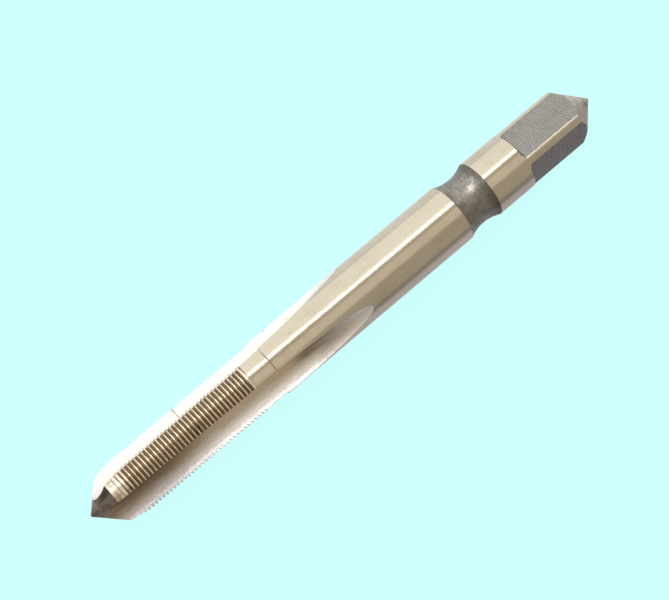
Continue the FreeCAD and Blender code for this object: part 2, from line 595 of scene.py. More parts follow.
    def square_ring(self, place: float) -> Ring:
        """Ring round the flats and the corners between them.

        Args:
            place: Distance from the cutting point.

        Returns:
            The ring, with columns close together at each edge of a flat.
        """
        outer = float(self.bar.radius(np.array([place]))[0])
        half = min(self.square.half_width(place), outer)
        edge = math.sqrt(max(outer ** 2 - half ** 2, 0.0))
        ease = min(self.square.edge, edge / 2)
        across = np.linspace(ease - edge, edge - ease, self.per_side - self.corner_columns + 1)
        corner_from = math.degrees(math.atan2(edge, half) + ease / outer)
        corner = np.linspace(corner_from, FULL_TURN / self.square.sides - corner_from,
                             self.corner_columns - 1)
        radius, turns = [], []
        for side in range(self.square.sides):
            middle = self.square.turn + side * FULL_TURN / self.square.sides
            radius += [np.hypot(across, half), np.full(len(corner), outer)]
            turns += [middle + np.degrees(np.arctan2(across, half)), middle + corner]
        roll = self.square_roll()
        turn_row = np.roll(np.concatenate(turns), -roll)
        turn_row[self.columns - roll:] += FULL_TURN
        return Ring(np.full(self.columns, place), np.roll(np.concatenate(radius), -roll), turn_row)

    def square_roll(self) -> int:
        """How many columns the first flat's edge is before the first land's edge."""
        return (self.per_side - self.corner_columns) // self.flat_parts

    def flat_columns(self) -> Array:
        """Which gaps between columns are on a flat."""
        side = np.arange(self.per_side) < self.per_side - self.corner_columns
        return np.roll(np.tile(side, self.square.sides), -self.square_roll())

    def flute_gaps(self) -> Array:
        """Which gaps between columns are in a flute."""
        third = np.arange(self.per_third) >= self.land_columns
        return np.tile(third, self.flute_count)

    def thread_places(self) -> list[float]:
        """Places of rings over the thread, on every crest and root of all three lands.

        Returns:
            The places, which leave a gap to the point's base and to the thread's end.
        """
        step = self.thread.pitch / self.rings_per_pitch
        behind = self.thread.first_turn / FULL_TURN * self.thread.pitch
        root = self.thread.end - self.thread.half_gap - behind
        down = int((root - self.bar.point_end) / step - self.least_gap)
        up = int((self.thread.end - self.bar.eased - root) / step)
        return [root + index * step for index in range(-down, up + 1)]

    def fluted_places(self) -> list[float]:
        """Places of the rings through the flutes.

        Returns:
            The places from the flutes' mouth to their end.
        """
        bar, gaps = self.bar, self.gaps
        relief_out = bar.relief_end + bar.step_bevel
        places = spread(self.flute_from, bar.point_end, gaps.flute_mouth, Crowd.START)[1:]
        places += self.thread_places()
        places += [bar.thread_end - bar.eased, bar.thread_end]
        places += spread(bar.thread_end, bar.relief_end, gaps.relief)[1:]
        places += spread(bar.relief_end, relief_out, gaps.step)[1:]
        places += spread(relief_out, self.flute_to, gaps.run_out, Crowd.END)[1:-1]
        return places

    def square_places(self) -> list[float]:
        """Places of the rings round the flats.

        Returns:
            The places from the collar to the flats' end on the rear cone.
        """
        bar, gaps = self.bar, self.gaps
        full_width = bar.square_start + self.square.corner
        places = spread(bar.square_start, full_width, gaps.flat_start)
        places += spread(full_width, bar.rear_base, gaps.square)[1:]
        places += spread(bar.rear_base, self.apex, gaps.shoulder, Crowd.END)[1:]
        return places

    def rings(self) -> list[Ring]:
        """Make all rings.

        Returns:
            The rings from the cutting point to the rear end.
        """
        bar, gaps = self.bar, self.gaps
        opening, closing = self.closing_turns(self.flute_from), self.closing_turns(self.flute_to)
        even, square = self.even_turns(), self.square_turns()
        settled = self.flute_to + self.settle_length
        collar_end = bar.square_start - bar.eased
        rings = self.round_rings(spread(0.0, self.flute_from, gaps.point), even, opening)
        rings += [self.fluted_ring(place) for place in self.fluted_places()]
        rings += self.round_rings(spread(self.flute_to, settled, gaps.settling), closing, even)
        rings += self.round_rings(spread(settled, bar.neck_start, gaps.shank), even, square)[1:]
        rings += self.round_rings(spread(bar.neck_start, bar.neck_end, gaps.neck), square, square)[1:]
        rings += self.round_rings(spread(bar.neck_end, collar_end, gaps.collar), square, square)[1:]
        rings += [self.square_ring(place) for place in self.square_places()]
        rings += self.round_rings(spread(self.apex, bar.overall, gaps.rear), rings[-1].turn, even)[1:]
        return rings

    def zone(self, place: float, flute: bool, flat: bool) -> Zone:
        """Finish of one face.

        Args:
            place: Distance of its middle from the cutting point.
            flute: Whether it is between the columns of a flute.
            flat: Whether it is between the columns of a flat.

        Returns:
            The stretch of surface that the face is in.
        """
        bar = self.bar
        if flute and self.flute_from < place < self.flute_to:
            return Zone.FLUTE
        if flat and bar.square_start < place < self.apex:
            return Zone.FLAT
        if place < bar.point_end:
            return Zone.FRONT_CONE
        if place < bar.thread_end:
            return Zone.THREAD
        if bar.neck_start < place < bar.neck_end:
            return Zone.NECK
        if place > bar.rear_base:
            return Zone.REAR_CONE
        return Zone.SHANK

    def mesh(self, name: str, tip: Vector) -> bpy.types.Mesh:
        """The tap's mesh.

        Args:
            name: Name of the mesh.
            tip: Where the axis meets the front end, in metres.

        Returns:
            The mesh, with the zone of each face as its material index.
        """
        rings = self.rings()
        place = np.array([ring.place for ring in rings])
        radius = np.array([ring.radius for ring in rings])
        turn = np.radians(np.array([ring.turn for ring in rings]))
        points = np.stack([place, -radius * np.sin(turn), radius * np.cos(turn)], -1) * MM
        ends = np.array([[0.0, 0.0, 0.0], [self.bar.overall * MM, 0.0, 0.0]])
        points = np.round(np.concatenate([points.reshape(-1, 3), ends]), self.weld_digits)
        kept, index = np.unique(points, axis=0, return_inverse=True)
        index = index.reshape(-1)
        grid = index[:-2].reshape(len(rings), self.columns)
        faces, zones = self.faces(grid, place)
        front, rear = int(index[-2]), int(index[-1])
        for column in range(self.columns):
            after = (column + 1) % self.columns
            faces += [(front, grid[0, after], grid[0, column]), (rear, grid[-1, column], grid[-1, after])]
            zones += [Zone.FRONT_CONE, Zone.REAR_CONE]
        mesh = bpy.data.meshes.new(name)
        mesh.from_pydata((kept + np.array(tip)).tolist(), [], [tuple(map(int, face)) for face in faces])
        order = list(Zone)
        mesh.polygons.foreach_set("material_index", [order.index(zone) for zone in zones])
        self.crease(mesh, grid, place)
        return mesh

    def faces(self, grid: Array, place: Array) -> tuple[list[tuple[int, ...]], list[Zone]]:
        """Faces between the rings.

        Args:
            grid: Vertex numbers of each ring.
            place: Distances of those vertices from the cutting point.

        Returns:
            The faces, without those that closed up, and their zones.
        """
        flutes, flats = self.flute_gaps(), self.flat_columns()
        faces, zones = [], []
        for row in range(len(grid) - 1):
            for column in range(self.columns):
                after = (column + 1) % self.columns
                corners = [grid[row, column], grid[row, after], grid[row + 1, after], grid[row + 1, column]]
                distinct = tuple(dict.fromkeys(corners))
                if len(distinct) < 3:
                    continue
                middle = float(place[row, column] + place[row + 1, column]) / 2
                faces.append(distinct)
                zones.append(self.zone(middle, bool(flutes[column]), bool(flats[column])))
        return faces, zones

    def crease(self, mesh: bpy.types.Mesh, grid: Array, place: Array) -> None:
        """Shade the mesh smoothly, apart from its true edges.

        Args:
            mesh: The tap's mesh.
            grid: Vertex numbers of each ring.
            place: Distances of those vertices from the cutting point.
        """
        mesh.shade_smooth()
        mesh.set_sharp_from_angle(angle=math.radians(self.crease_angle))
        edge_columns = [land * self.per_third + side for land in range(self.flute_count)
                        for side in (0, self.land_columns)]
        pairs = set()
        for column in edge_columns:
            for row in range(len(grid) - 1):
                if self.flute_from <= place[row, column] <= self.flute_to:
                    pairs.add(frozenset((int(grid[row, column]), int(grid[row + 1, column]))))
        for edge in mesh.edges:
            if frozenset(edge.vertices) in pairs:
                edge.use_edge_sharp = True


@dataclass(frozen=True)
class Noise:
    """How fine and how rough a noise is."""

    detail: float
    roughness: float


@dataclass(frozen=True)
class Nodes:
    """Short way to add and join the nodes of one tree."""

    tree: bpy.types.NodeTree
    mix_inputs: tuple[int, int, int] = (0, 6, 7)
    mix_result: int = 2

    def put(self, socket: Socket, value: object) -> None:
        """Give an input socket a constant, or link another node's output to it.

        Args:
            socket: The input socket.
            value: The constant or the output.
        """
        if isinstance(value, bpy.types.NodeSocket):
            self.tree.links.new(value, socket)
        else:
            socket.default_value = value

    def add(self, kind: str, values: dict[str | int, object] | None = None,
            **settings: object) -> bpy.types.Node:
        """Add a node.

        Args:
            kind: Blender's name of the node type.
            values: What each input socket takes: a constant, or another node's output.
            settings: The node's own settings.

        Returns:
            The node, with its sockets set or linked.
        """
        node = self.tree.nodes.new(kind)
        for name, setting in settings.items():
            setattr(node, name, setting)
        for name, value in (values or {}).items():
            self.put(node.inputs[name], value)
        return node

    def use(self, group: bpy.types.NodeTree, values: dict[str | int, object] | None = None) -> Outputs:
        """Outputs of a shared effect, placed with its own values."""
        return self.add("ShaderNodeGroup", values, node_tree=group).outputs

    def math(self, operation: str, *values: object) -> Socket:
        """Result of a math node with its inputs in order."""
        return self.add("ShaderNodeMath", dict(enumerate(values)), operation=operation).outputs[0]

    def product(self, first: object, *others: object) -> Socket:
        """Product of several values.

        Args:
            first: The first factor.
            others: The other factors.

        Returns:
            The product.
        """
        result = first
        for factor in others:
            result = self.math("MULTIPLY", result, factor)
        return result

    def hypot(self, first: object, second: object) -> Socket:
        """Length of the line that has two lengths at right angles as its sides."""
        squares = self.math("MULTIPLY", first, first), self.math("MULTIPLY", second, second)
        return self.math("SQRT", self.math("ADD", *squares))

    def ramp(self, value: object, low: object, high: object) -> Socket:
        """Value moved smoothly from the span between low and high to the span from 0 to 1.

        Args:
            value: What is mapped.
            low: Value that gives 0.
            high: Value that gives 1.

        Returns:
            The mapped value.
        """
        inputs = {"Value": value, "From Min": low, "From Max": high}
        return self.add("ShaderNodeMapRange", inputs, interpolation_type="SMOOTHSTEP").outputs["Result"]

    def blend(self, share: object, first: object, second: object) -> Socket:
        """Mix of two colours.

        Args:
            share: How much of the second colour.
            first: First colour.
            second: Second colour.

        Returns:
            The mixed colour.
        """
        node = self.add("ShaderNodeMix", data_type="RGBA")
        for index, value in zip(self.mix_inputs, (share, first, second)):
            self.put(node.inputs[index], value)
        return node.outputs[self.mix_result]

    def scaled(self, where: Socket, along: object, across: object) -> Socket:
        """Place drawn out along the tap or across it.

        Args:
            where: The place.
            along: What its distance along the tap is multiplied by.
            across: What its other two distances are multiplied by.

        Returns:
            The moved place.
        """
        factors = self.add("ShaderNodeCombineXYZ", {"X": along, "Y": across, "Z": across}).outputs[0]
        return self.add("ShaderNodeVectorMath", {0: where, 1: factors}, operation="MULTIPLY").outputs[0]

    def noise(self, where: Socket, seed: Socket, scale: object, grain: Noise) -> Socket:
        """Value of a noise.

        Args:
            where: Place that it is read at.
            seed: Number that sets it apart from the same noise elsewhere.
            scale: How many of its patches go into a millimetre.
            grain: How fine and how rough it is.

        Returns:
            The noise, from 0 to 1.
        """
        values = {"Vector": where, "W": seed, "Scale": scale, "Detail": grain.detail,
                  "Roughness": grain.roughness}
        return self.add("ShaderNodeTexNoise", values, noise_dimensions="4D").outputs[0]


@dataclass
class Effects:
    """Shader effects that the finishes share, each one node group that is made once."""

    tip: Vector
    line_noise: Noise = Noise(4.0, 0.62)
    blotch_noise: Noise = Noise(5.0, 0.65)
    ridge_noise: Noise = Noise(4.0, 0.7)
    ridge_patches: float = 1.3
    speck_least: float = 0.15
    speck_spread: float = 0.3
    speck_core: float = 0.5

    def __post_init__(self) -> None:
        """Make every group."""
        self.place = self.place_group()
        self.lines = self.lines_group()
        self.blotches = self.blotches_group()
        self.specks = self.specks_group()
        self.ridges = self.ridges_group()

    def group(self, name: str, inputs: dict[str, float], outputs: Sequence[str]) -> tuple[Nodes, Outputs]:
        """Empty node group with its sockets.

        Args:
            name: Name of the group.
            inputs: Its inputs and their usual values.
            outputs: Its outputs.

        Returns:
            The group's nodes, and what its inputs give.
        """
        tree = bpy.data.node_groups.new(name, "ShaderNodeTree")
        for socket, value in inputs.items():
            item = tree.interface.new_socket(socket, in_out="INPUT", socket_type="NodeSocketFloat")
            item.default_value = value
        for socket in outputs:
            tree.interface.new_socket(socket, in_out="OUTPUT", socket_type="NodeSocketFloat")
        nodes = Nodes(tree)
        return nodes, nodes.add("NodeGroupInput").outputs

    def point(self, nodes: Nodes) -> Socket:
        """Place on the tap.

        Args:
            nodes: Nodes of the group that needs it.

        Returns:
            Millimetres from where the tap's axis meets the front end.
        """
        where = nodes.add("ShaderNodeTexCoord").outputs["Object"]
        moved = nodes.add("ShaderNodeVectorMath", {0: where, 1: tuple(self.tip)}, operation="SUBTRACT")
        inputs = {0: moved.outputs[0], "Scale": 1.0 / MM}
        return nodes.add("ShaderNodeVectorMath", inputs, operation="SCALE").outputs[0]

    def place_group(self) -> bpy.types.NodeTree:
        """Make the group that tells where the surface is.

        Returns:
            Group that gives distance along the tap, distance from its axis, and angle round it.
        """
        nodes, _ = self.group("place_on_tap", {}, ("Along", "Radius", "Turn"))
        parts = nodes.add("ShaderNodeSeparateXYZ", {0: self.point(nodes)}).outputs
        across, up = nodes.math("MULTIPLY", parts["Y"], -1.0), parts["Z"]
        radius = nodes.hypot(across, up)
        turn = nodes.math("DEGREES", nodes.math("ARCTAN2", across, up))
        nodes.add("NodeGroupOutput", {"Along": parts["X"], "Radius": radius, "Turn": turn})
        return nodes.tree

    def lines_group(self) -> bpy.types.NodeTree:
        """Make the fine lines that a wheel leaves.

        Returns:
            Group that gives the lines, drawn out round the tap or along it.
        """
        nodes, given = self.group("wheel_lines", {"Along": 12.0, "Round": 0.4, "Seed": 0.0}, ("Lines",))
        where = nodes.scaled(self.point(nodes), given["Along"], given["Round"])
        lines = nodes.noise(where, given["Seed"], 1.0, self.line_noise)
        nodes.add("NodeGroupOutput", {"Lines": lines})
        return nodes.tree

    def blotches_group(self) -> bpy.types.NodeTree:
        """Make the uneven patches of stains and rust, and the uneven edges of painted shade and painted
        highlights.

        Returns:
            Group that gives a mask of the patches.
        """
        inputs = {"Size": 1.0, "Level": 0.55, "Edge": 0.08, "Stretch": 1.0, "Seed": 0.0}
        nodes, given = self.group("blotches", inputs, ("Mask",))
        where = nodes.scaled(self.point(nodes), nodes.math("DIVIDE", 1.0, given["Stretch"]), 1.0)
        scale = nodes.math("DIVIDE", 1.0, given["Size"])
        patches = nodes.noise(where, given["Seed"], scale, self.blotch_noise)
        low = nodes.math("SUBTRACT", given["Level"], given["Edge"])
        high = nodes.math("ADD", given["Level"], given["Edge"])
        nodes.add("NodeGroupOutput", {"Mask": nodes.ramp(patches, low, high)})
        return nodes.tree

    def specks_group(self) -> bpy.types.NodeTree:
        """Make scattered round specks.

        Returns:
            Group that gives a mask of the specks.
        """
        nodes, given = self.group("specks", {"Size": 0.3, "Share": 0.2, "Seed": 0.0}, ("Mask",))
        scale = nodes.math("DIVIDE", 1.0, given["Size"])
        inputs = {"Vector": self.point(nodes), "W": given["Seed"], "Scale": scale}
        cells = nodes.add("ShaderNodeTexVoronoi", inputs, voronoi_dimensions="4D").outputs
        drawn = nodes.add("ShaderNodeSeparateColor", {0: cells["Color"]}).outputs
        chosen = nodes.math("LESS_THAN", drawn[0], given["Share"])
        reach = nodes.math("MULTIPLY_ADD", drawn[1], self.speck_spread, self.speck_least)
        speck = nodes.ramp(cells["Distance"], reach, nodes.math("MULTIPLY", reach, self.speck_core))
        nodes.add("NodeGroupOutput", {"Mask": nodes.math("MULTIPLY", speck, chosen)})
        return nodes.tree

    def ridges_group(self) -> bpy.types.NodeTree:
        """Make the ridges that a coarse wheel leaves across the tap.

        Returns:
            Group that gives their height, evenly spaced and a little unsteady.
        """
        inputs = {"Spacing": 0.23, "Lean": 0.0, "Wander": 0.3, "Seed": 0.0}
        nodes, given = self.group("ridges", inputs, ("Height",))
        place = nodes.use(self.place)
        leaning = nodes.math("MULTIPLY_ADD", place["Turn"], given["Lean"], place["Along"])
        rough = nodes.noise(self.point(nodes), given["Seed"], self.ridge_patches, self.ridge_noise)
        unsteady = nodes.math("MULTIPLY_ADD", rough, given["Wander"], leaning)
        laps = nodes.math("DIVIDE", unsteady, given["Spacing"])
        wave = nodes.math("SINE", nodes.math("MULTIPLY", laps, math.tau))
        nodes.add("NodeGroupOutput", {"Height": nodes.math("MULTIPLY_ADD", wave, 0.5, 0.5)})
        return nodes.tree


@dataclass(frozen=True, kw_only=True)
class Lines:
    """Wheel lines of one finish."""

    along: float
    round: float
    tint: float
    gloss: float
    depth: float
    seed: float
    low: float = 0.3
    high: float = 0.7


@dataclass(frozen=True, kw_only=True)
class Layer(ABC):
    """Another colour that lies over part of a finish."""

    colour: Colour
    share: float = 1.0

    @abstractmethod
    def mask(self, nodes: Nodes, effects: Effects, place: Outputs) -> Socket:
        """Where the layer lies, from 0 to 1."""

    def over(self, nodes: Nodes, effects: Effects, place: Outputs, colour: Socket) -> Socket:
        """Lay it over a colour.

        Args:
            nodes: Nodes of the material.
            effects: The shared effects.
            place: Where the surface is on the tap.
            colour: The colour under it.

        Returns:
            The colour with the layer on it.
        """
        share = nodes.product(self.mask(nodes, effects, place), self.share)
        return nodes.blend(share, colour, self.colour)


@dataclass(frozen=True, kw_only=True)
class Stain(Layer):
    """Blotches of another colour."""

    size: float
    level: float
    edge: float = 0.08
    stretch: float = 1.0
    seed: float = 0.0

    def mask(self, nodes: Nodes, effects: Effects, place: Outputs) -> Socket:
        """Blotches of the stain's size."""
        return nodes.use(effects.blotches, {"Size": self.size, "Level": self.level, "Edge": self.edge,
                                            "Stretch": self.stretch, "Seed": self.seed})[0]


@dataclass(frozen=True, kw_only=True)
class Specks(Layer):
    """Scattered specks of another colour."""

    size: float
    chosen: float
    seed: float = 0.0

    def mask(self, nodes: Nodes, effects: Effects, place: Outputs) -> Socket:
        """Specks of their own size and number."""
        return nodes.use(effects.specks, {"Size": self.size, "Share": self.chosen, "Seed": self.seed})[0]


@dataclass(frozen=True, kw_only=True)
class Spot(Layer):
    """One uneven spot at a place of its own."""

    along: float
    turn: float
    reach: float
    grain: float
    level: float = 0.5
    edge: float = 0.08
    core: float = 0.125

    def mask(self, nodes: Nodes, effects: Effects, place: Outputs) -> Socket:
        """Patches round the spot's middle.

        Args:
            nodes: Nodes of the material.
            effects: The shared effects.
            place: Where the surface is on the tap.

        Returns:
            The mask, which fades towards the spot's reach.
        """
        along = nodes.math("SUBTRACT", place["Along"], self.along)
        turned = nodes.math("SUBTRACT", place["Turn"], self.turn)
        across = nodes.product(turned, math.radians(1.0), place["Radius"])
        patch = nodes.use(effects.blotches, {"Size": self.grain, "Level": self.level,
                                             "Edge": self.edge, "Seed": self.along})[0]
        near = nodes.ramp(nodes.hypot(along, across), self.reach, self.reach * self.core)
        return nodes.math("MULTIPLY", near, patch)


@dataclass(frozen=True, kw_only=True)
class Steel:
    """One finish of the tool steel: its colour, gloss, wheel lines, stains, marks and spots."""

    zone: Zone
    colour: Colour
    roughness: float
    lines: Lines
    layers: tuple[Layer, ...] = ()
    spots: tuple[Spot, ...] = ()
    anisotropy: float = 0.0
    across_lines: float = 0.25

    def marks(self, nodes: Nodes, effects: Effects, place: Outputs, colour: Socket) -> Socket:
        """Add the marks that only this finish has; plain steel has none.

        Args:
            nodes: Nodes of the material.
            effects: The shared effects.
            place: Where the surface is on the tap.
            colour: Colour without the marks.

        Returns:
            Colour with the marks.
        """
        return colour

    def height(self, nodes: Nodes, effects: Effects, grain: Socket) -> Socket:
        """Height of the fine surface, in steps of the lines' depth.

        Args:
            nodes: Nodes of the material.
            effects: The shared effects.
            grain: The wheel lines.

        Returns:
            The height; on plain steel, that of the lines.
        """
        return grain

    def shade(self, factor: float) -> Colour:
        """The steel's colour, made lighter or darker by a factor."""
        red, green, blue, _ = self.colour
        return (red * factor, green * factor, blue * factor, 1.0)

    def material(self, effects: Effects) -> bpy.types.Material:
        """Make the finish's material.

        Args:
            effects: The shared effects.

        Returns:
            The material, named for its stretch of surface.
        """
        material = bpy.data.materials.new(self.zone.value)
        nodes = emptied(material)
        place = nodes.use(effects.place)
        lines = self.lines
        grain = nodes.use(effects.lines, {"Along": lines.along, "Round": lines.round, "Seed": lines.seed})[0]
        contrast = nodes.ramp(grain, lines.low, lines.high)
        colour = nodes.blend(contrast, self.shade(1.0 - lines.tint), self.shade(1.0 + lines.tint))
        for layer in self.layers:
            colour = layer.over(nodes, effects, place, colour)
        colour = self.marks(nodes, effects, place, colour)
        for spot in self.spots:
            colour = spot.over(nodes, effects, place, colour)
        rough = nodes.math("MULTIPLY_ADD", contrast, -2.0 * lines.gloss, self.roughness + lines.gloss)
        height = self.height(nodes, effects, grain)
        bump = nodes.add("ShaderNodeBump", {"Height": height, "Distance": lines.depth * MM})
        tangent = nodes.add("ShaderNodeTangent", direction_type="RADIAL", axis="X")
        shader = nodes.add("ShaderNodeBsdfPrincipled", {
            "Base Color": colour, "Metallic": 1.0, "Roughness": rough, "Anisotropic": self.anisotropy,
            "Anisotropic Rotation": self.across_lines, "Tangent": tangent.outputs[0],
            "Normal": bump.outputs[0]})
        nodes.add("ShaderNodeOutputMaterial", {"Surface": shader.outputs[0]})
        return material


@dataclass(frozen=True, kw_only=True)
class ToothSteel(Steel):
    """Thread: worn bright crests over dark brown roots, whose darkness is painted shade that deepens with
    the groove.
    """

    root_shade_colour: Colour = (0.50, 0.43, 0.34, 1.0)
    crest_radius: float = 3.5
    point_radius: float = 3.0
    lead_start: float = 2.9
    lead_end: float = 5.3
    bright_depth: float = 0.03
    dark_depth: float = 0.14
    uneven_depth: float = 0.05
    least_depth: float = -0.02
    pitch: float = 0.5
    groove_place: float = 21.325
    scratch_half: float = 0.14
    scratch_core: float = 0.07
    scratch_share: float = 0.9
    scratch_thins: float = 0.3
    scratch_laps: float = 2.0
    scratch_colour: Colour = (0.34, 0.28, 0.20, 1.0)

    def marks(self, nodes: Nodes, effects: Effects, place: Outputs, colour: Socket) -> Socket:
        """Paint shade into the grooves, darker by their depth under the blank's own surface.

        Args:
            nodes: Nodes of the material.
            effects: The shared effects.
            place: Where the surface is on the tap.
            colour: Colour without the marks.

        Returns:
            Colour with painted shade in the roots, and with scratches on the lead.
        """
        rise = (self.crest_radius - self.point_radius) / (self.lead_end - self.lead_start)
        lead = nodes.math("MULTIPLY_ADD", place["Along"], rise, self.point_radius - rise * self.lead_start)
        depth = nodes.math("SUBTRACT", nodes.math("MINIMUM", lead, self.crest_radius), place["Radius"])
        patch = nodes.use(effects.blotches, {"Size": 0.5, "Level": 0.5, "Edge": 0.2, "Seed": 3.0})[0]
        shift = nodes.math("MULTIPLY_ADD", patch, self.uneven_depth, self.least_depth)
        # painted shade: the deeper a point lies under the crests, the more of the dark brown shade colour it
        # gets
        dark = nodes.ramp(nodes.math("ADD", depth, shift), self.bright_depth, self.dark_depth)
        colour = nodes.blend(self.scratches(nodes, place, patch), colour, self.scratch_colour)
        return nodes.blend(dark, colour, self.root_shade_colour)

    def scratches(self, nodes: Nodes, place: Outputs, patch: Socket) -> Socket:
        """Fine helical lines where the wheel just touched the lead.

        Args:
            nodes: Nodes of the material.
            place: Where the surface is on the tap.
            patch: Unevenness of the lines.

        Returns:
            Mask of the lines.
        """
        shift = nodes.math("MULTIPLY_ADD", place["Turn"], -self.pitch / FULL_TURN, place["Along"])
        laps = nodes.math("DIVIDE", nodes.math("SUBTRACT", shift, self.groove_place), self.pitch)
        off = nodes.math("ABSOLUTE", nodes.math("SUBTRACT", laps, nodes.math("ROUND", laps)))
        line = nodes.ramp(off, self.scratch_half, self.scratch_core)
        deep_from, deep_to = self.lead_start - self.pitch, self.lead_start + self.scratch_laps * self.pitch
        deeper = nodes.ramp(place["Along"], deep_from, deep_to)
        share = nodes.math("MULTIPLY_ADD", patch, -self.scratch_thins, self.scratch_share)
        return nodes.product(line, share, deeper)


@dataclass(frozen=True, kw_only=True)
class FluteSteel(Steel):
    """Flutes: bright from the wheel, with painted brown shade on one heel wall and a painted grey reflection
    beside it.
    """

    heel_shade_colour: Colour = (0.40, 0.30, 0.21, 1.0)
    heel_shade_from: float = 86.0
    heel_shade_to: float = 56.0
    heel_shade_wander: float = 12.0
    heel_shade_widens: float = 20.0
    heel_shade_end: float = 38.0
    heel_shade_fades: float = 27.0
    paler_shade_colour: Colour = (0.84, 0.70, 0.53, 1.0)
    paler_shade_from: float = 8.0
    paler_shade_full: float = 18.0
    paler_shade_until: float = 26.0
    paler_shade_end: float = 29.0
    grey_reflection_colour: Colour = (0.50, 0.48, 0.52, 1.0)
    grey_reflection_share: float = 0.75
    grey_reflection_full: float = 8.0
    grey_reflection_end: float = 18.0
    scratch_place: float = 13.87
    scratch_half: float = 0.15
    scratch_core: float = 0.05
    scratch_from: float = -100.0
    scratch_to: float = -30.0
    scratch_share: float = 0.35
    scratch_wander: float = 0.5
    scratch_colour: Colour = (0.30, 0.25, 0.20, 1.0)

    def marks(self, nodes: Nodes, effects: Effects, place: Outputs, colour: Socket) -> Socket:
        """Paint brown shade on the heel wall under the land that looks up, and paint a grey reflection
        beside it.

        Args:
            nodes: Nodes of the material.
            effects: The shared effects.
            place: Where the surface is on the tap.
            colour: Colour without the marks.

        Returns:
            Colour with the painted grey reflection, the painted brown shade, which is paler halfway along
            the flute, and the one scratch.
        """
        along = place["Along"]
        patch = nodes.use(effects.blotches, {"Size": 1.1, "Level": 0.5, "Edge": 0.25, "Stretch": 3.0,
                                             "Seed": 7.0})[0]
        # painted shade: the heel wall that faces down, on the side of turns above 0, is painted brown, paler
        # halfway along the flute
        turn = nodes.math("MULTIPLY_ADD", patch, -self.heel_shade_wander, place["Turn"])
        ahead = nodes.math("MINIMUM", nodes.math("SUBTRACT", along, self.heel_shade_widens), 0.0)
        heel_shade = nodes.ramp(nodes.math("ADD", turn, ahead), self.heel_shade_from, self.heel_shade_to)
        side = nodes.math("GREATER_THAN", place["Turn"], 0.0)
        kept = nodes.math("MULTIPLY", side, nodes.ramp(along, self.heel_shade_end, self.heel_shade_fades))
        paler_shade = nodes.math("MULTIPLY", nodes.ramp(along, self.paler_shade_from, self.paler_shade_full),
                             nodes.ramp(along, self.paler_shade_end, self.paler_shade_until))
        brown = nodes.blend(paler_shade, self.heel_shade_colour, self.paler_shade_colour)
        # painted reflection: a grey tone on the same side near the front of the flutes
        grey_reflection = nodes.product(nodes.ramp(along, self.grey_reflection_end, self.grey_reflection_full), side, self.grey_reflection_share)
        colour = nodes.blend(grey_reflection, colour, self.grey_reflection_colour)
        colour = nodes.blend(nodes.math("MULTIPLY", heel_shade, kept), colour, brown)
        return nodes.blend(self.scratch(nodes, place, patch), colour, self.scratch_colour)

    def scratch(self, nodes: Nodes, place: Outputs, patch: Socket) -> Socket:
        """One short scratch across a heel wall.

        Args:
            nodes: Nodes of the material.
            place: Where the surface is on the tap.
            patch: Unevenness of the scratch.

        Returns:
            Mask of the scratch.
        """
        off = nodes.math("ABSOLUTE", nodes.math("SUBTRACT", place["Along"], self.scratch_place))
        line = nodes.ramp(off, self.scratch_half, self.scratch_core)
        after = nodes.math("GREATER_THAN", place["Turn"], self.scratch_from)
        before = nodes.math("LESS_THAN", place["Turn"], self.scratch_to)
        share = nodes.math("MULTIPLY_ADD", patch, self.scratch_wander, self.scratch_share)
        return nodes.product(line, nodes.product(after, before, share))


@dataclass(frozen=True, kw_only=True)
class NeckSteel(Steel):
    """Neck: matt, darkened with painted shade where it meets the collar."""

    collar_shade_colour: Colour = (0.10, 0.095, 0.085, 1.0)
    collar_shade_from: float = 54.4
    collar_shade_to: float = 55.6
    collar_shade_share: float = 0.6

    def marks(self, nodes: Nodes, effects: Effects, place: Outputs, colour: Socket) -> Socket:
        """Paint shade over the end beside the collar."""
        # painted shade: darker towards the corner where the neck meets the collar
        collar_shade = nodes.ramp(place["Along"], self.collar_shade_from, self.collar_shade_to)
        return nodes.blend(nodes.math("MULTIPLY", collar_shade, self.collar_shade_share), colour, self.collar_shade_colour)


@dataclass(frozen=True, kw_only=True)
class PointSteel(Steel):
    """Front cone: matt, with painted shade darkening one corner where a flute cuts in."""

    corner_shade_colour: Colour = (0.07, 0.055, 0.04, 1.0)
    corner_shade_from: float = 0.8
    corner_shade_to: float = 2.2
    corner_shade_turn: float = 5.0
    corner_shade_edge: float = -6.0
    corner_shade_limit: float = -60.0
    corner_shade_share: float = 0.85

    def marks(self, nodes: Nodes, effects: Effects, place: Outputs, colour: Socket) -> Socket:
        """Paint shade into the corner between the cone's base and the flute.

        Args:
            nodes: Nodes of the material.
            effects: The shared effects.
            place: Where the surface is on the tap.
            colour: Colour without the mark.

        Returns:
            Colour with the painted shade.
        """
        # painted shade in the corner where the flute cuts into the cone's base
        side = nodes.ramp(place["Turn"], self.corner_shade_turn, self.corner_shade_edge)
        own = nodes.math("GREATER_THAN", place["Turn"], self.corner_shade_limit)
        base = nodes.ramp(place["Along"], self.corner_shade_from, self.corner_shade_to)
        corner_shade = nodes.product(side, own, nodes.product(base, self.corner_shade_share))
        return nodes.blend(corner_shade, colour, self.corner_shade_colour)


